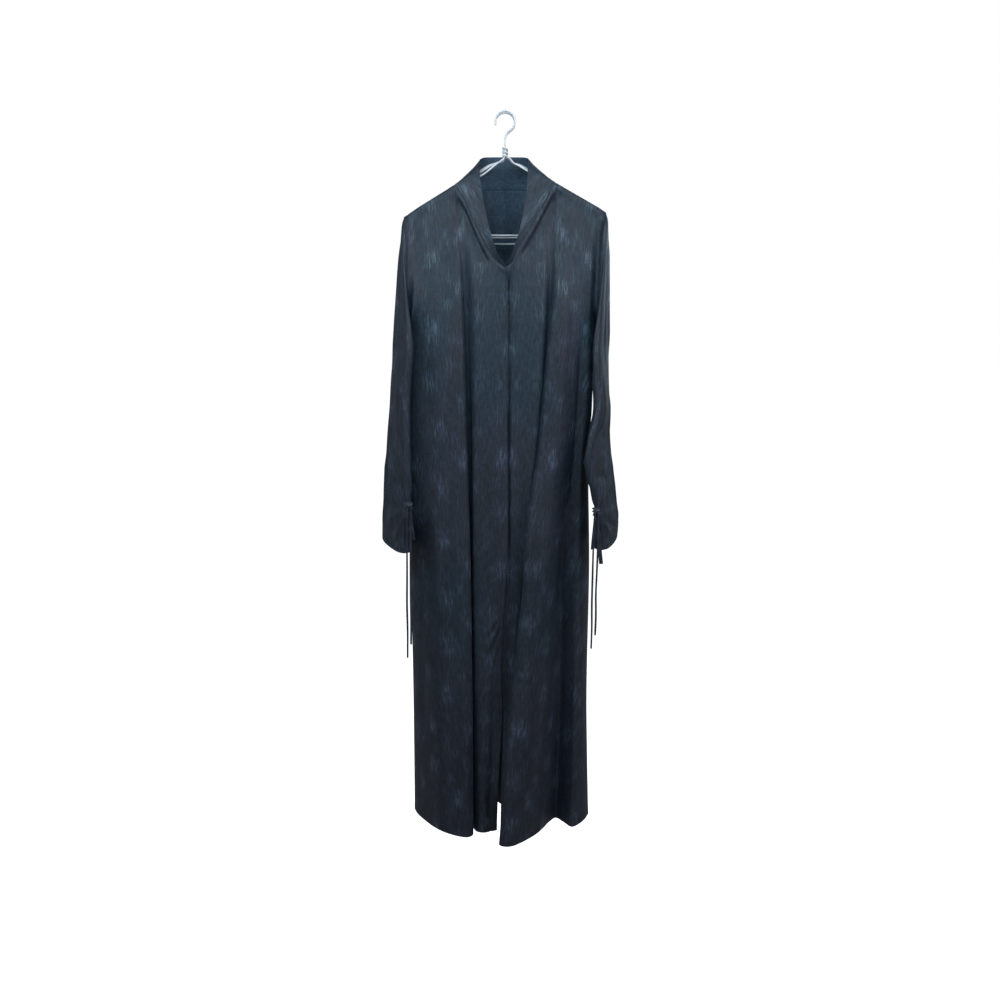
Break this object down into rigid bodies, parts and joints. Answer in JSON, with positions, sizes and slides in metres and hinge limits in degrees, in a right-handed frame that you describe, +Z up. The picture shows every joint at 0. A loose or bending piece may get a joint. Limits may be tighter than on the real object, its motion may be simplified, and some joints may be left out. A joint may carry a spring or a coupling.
{
  "type": "abaya on hangers",
  "caption": "Full-length abaya cloak with a stand-away shawl collar, lapped snap front and tied wrists, hanging on thin wire hangers by their hooks.",
  "frame": {"origin": "inside top of the middle hanger's hook, where a rail carries it", "axes": "+Z up, +X towards the wearer's left sleeve, -Y out of the front"},
  "size_m": [0.5214, 0.2606, 1.5433],
  "materials": {
    "jacquard_crepe": "dark slate-navy crepe satin with woven brush-stroke patches",
    "stud_metal": "blackened press studs",
    "coated_wire": "pale coated hanger wire"
  },
  "bodies": {
    "root": {"front_right": "jacquard_crepe", "front_left": "jacquard_crepe", "back": "jacquard_crepe", "sleeve_right": "jacquard_crepe", "sleeve_left": "jacquard_crepe", "collar": "jacquard_crepe", "tie_right": "jacquard_crepe", "tie_right_tail_1": "jacquard_crepe", "tie_right_tail_2": "jacquard_crepe", "tie_left": "jacquard_crepe", "tie_left_tail_1": "jacquard_crepe", "tie_left_tail_2": "jacquard_crepe", "snap_1": "stud_metal", "snap_2": "stud_metal", "snap_3": "stud_metal", "snap_4": "stud_metal", "snap_5": "stud_metal", "hanger_front": "coated_wire", "hanger_middle": "coated_wire", "hanger_rear": "coated_wire"}
  },
  "joints": []
}
